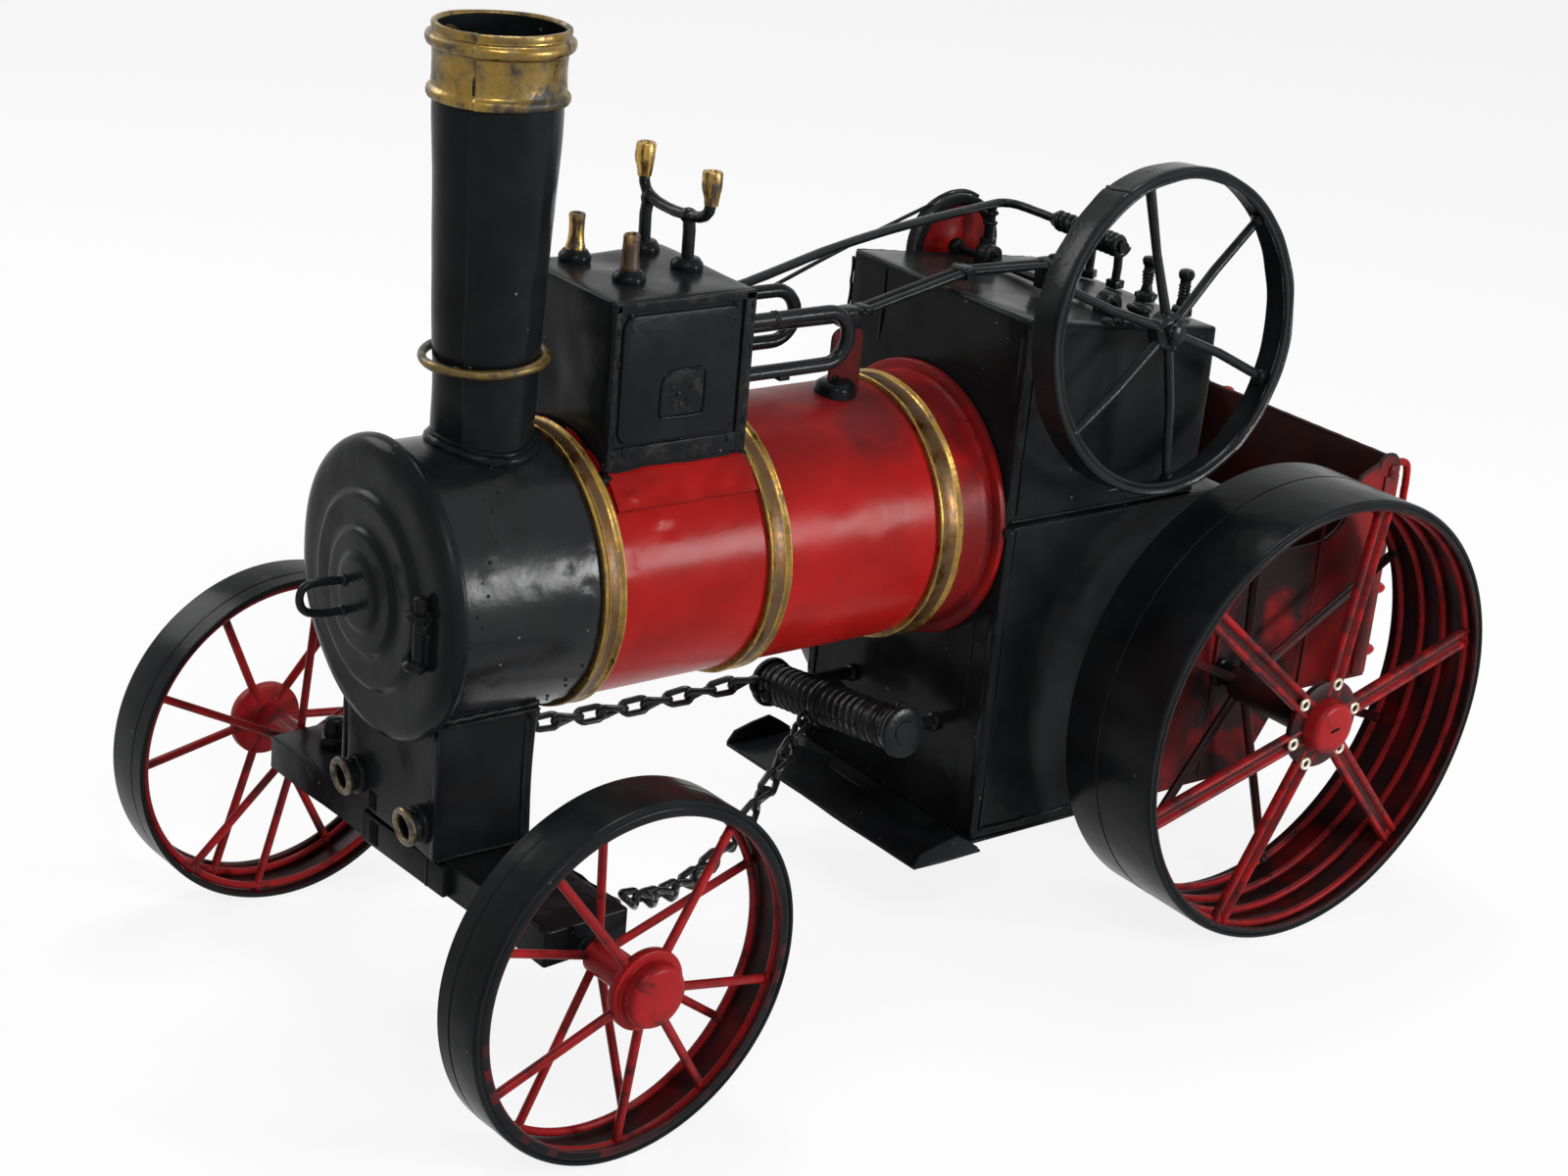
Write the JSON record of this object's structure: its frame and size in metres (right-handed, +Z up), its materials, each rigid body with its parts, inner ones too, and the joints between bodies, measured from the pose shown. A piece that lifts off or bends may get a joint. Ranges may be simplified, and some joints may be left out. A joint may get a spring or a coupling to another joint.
{
  "type": "decorative tin model of a steam traction engine",
  "caption": "Hand-made tin model of a steam traction engine with spoked wheels, side flywheel, chain steering, open chimney and an open bunker.",
  "frame": {"origin": "on the floor under the middle of the model's bounding box", "axes": "+Z up, -Y the way the smokebox faces, +X the flywheel side"},
  "size_m": [0.1672, 0.3282, 0.2311],
  "materials": {
    "black_enamel": "semi-gloss enamel on tin",
    "red_enamel": "gloss enamel, darkened at the seams",
    "wheel_red": "satin enamel",
    "antique_brass": "antique, patinated",
    "black_wire": "black lacquered wire"
  },
  "bodies": {
    "chassis": {"ash_tray": "black_enamel", "belt_wire": "black_wire", "boiler_band_front": "antique_brass", "boiler_band_middle": "antique_brass", "boiler_band_rear": "antique_brass", "boiler_barrel": "red_enamel", "cab_box": "black_enamel", "chest_saddle": "red_enamel", "chest_stud_far": "antique_brass", "chest_stud_near": "antique_brass", "chimney": "black_enamel", "chimney_cap": "antique_brass", "chimney_hoop": "antique_brass", "connecting_rods": "black_wire", "crank_bearing_far": "black_enamel", "crank_bearing_near": "black_enamel", "crosshead_bracket": "red_enamel", "door_handle": "black_wire", "door_hinge": "black_enamel", "firebox_body": "black_enamel", "pedestal": "black_enamel", "piston_rod": "black_wire", "rear_axle": "black_enamel", "roof_drum": "black_wire", "roof_lever_far": "black_wire", "roof_lever_near": "black_wire", "slide_loop_far": "black_wire", "slide_loop_near": "black_wire", "smokebox": "black_enamel", "smokebox_door": "black_enamel", "steam_chest": "black_enamel", "steering_chain_far": "black_wire", "steering_chain_near": "black_wire", "steering_drum": "black_wire", "tender_handle_far": "red_enamel", "tender_handle_near": "red_enamel", "tender_step_lower": "red_enamel", "tender_step_upper": "red_enamel", "tender_tub": "red_enamel", "throttle_rod": "black_wire", "throttle_sleeve": "black_wire", "valve_yoke": "black_wire", "yoke_cap_far": "antique_brass", "yoke_cap_near": "antique_brass"},
    "front_axle": {"front_axle_beam": "black_enamel"},
    "front_wheel_near": {"front_wheel_near_rim": "black_enamel", "front_wheel_near_spokes": "wheel_red"},
    "front_wheel_far": {"front_wheel_far_rim": "black_enamel", "front_wheel_far_spokes": "wheel_red"},
    "rear_wheel_near": {"rear_wheel_near_rim": "black_enamel", "rear_wheel_near_spokes": "wheel_red"},
    "rear_wheel_far": {"rear_wheel_far_rim": "black_enamel", "rear_wheel_far_spokes": "wheel_red"},
    "flywheel": {"flywheel": "black_enamel", "crankshaft": "black_wire", "belt_pulley": "red_enamel"}
  },
  "joints": [
    {"name": "steering", "type": "hinge", "parent": "chassis", "child": "front_axle", "pos_m": [0, -0.1167, 0.0494], "axis": [0, 0, 1], "range_deg": [-18.7, 11.3], "deforming": ["steering_chain_near", "steering_chain_far"]},
    {"name": "front_wheel_near_spin", "type": "hinge", "parent": "front_axle", "child": "front_wheel_near", "pos_m": [0.06985, -0.11218, 0.0425], "axis": [0.9979, 0.0645, 0], "continuous": true},
    {"name": "front_wheel_far_spin", "type": "hinge", "parent": "front_axle", "child": "front_wheel_far", "pos_m": [-0.06985, -0.12122, 0.0425], "axis": [0.9979, 0.0645, 0], "continuous": true},
    {"name": "rear_wheel_near_spin", "type": "hinge", "parent": "chassis", "child": "rear_wheel_near", "pos_m": [0.0582, 0.0975, 0.06], "axis": [1, 0, 0], "continuous": true},
    {"name": "rear_wheel_far_spin", "type": "hinge", "parent": "chassis", "child": "rear_wheel_far", "pos_m": [-0.0582, 0.0975, 0.06], "axis": [1, 0, 0], "continuous": true},
    {"name": "flywheel_spin", "type": "hinge", "parent": "chassis", "child": "flywheel", "pos_m": [0.0439, 0.0515, 0.1604], "axis": [1, 0, 0], "continuous": true}
  ]
}
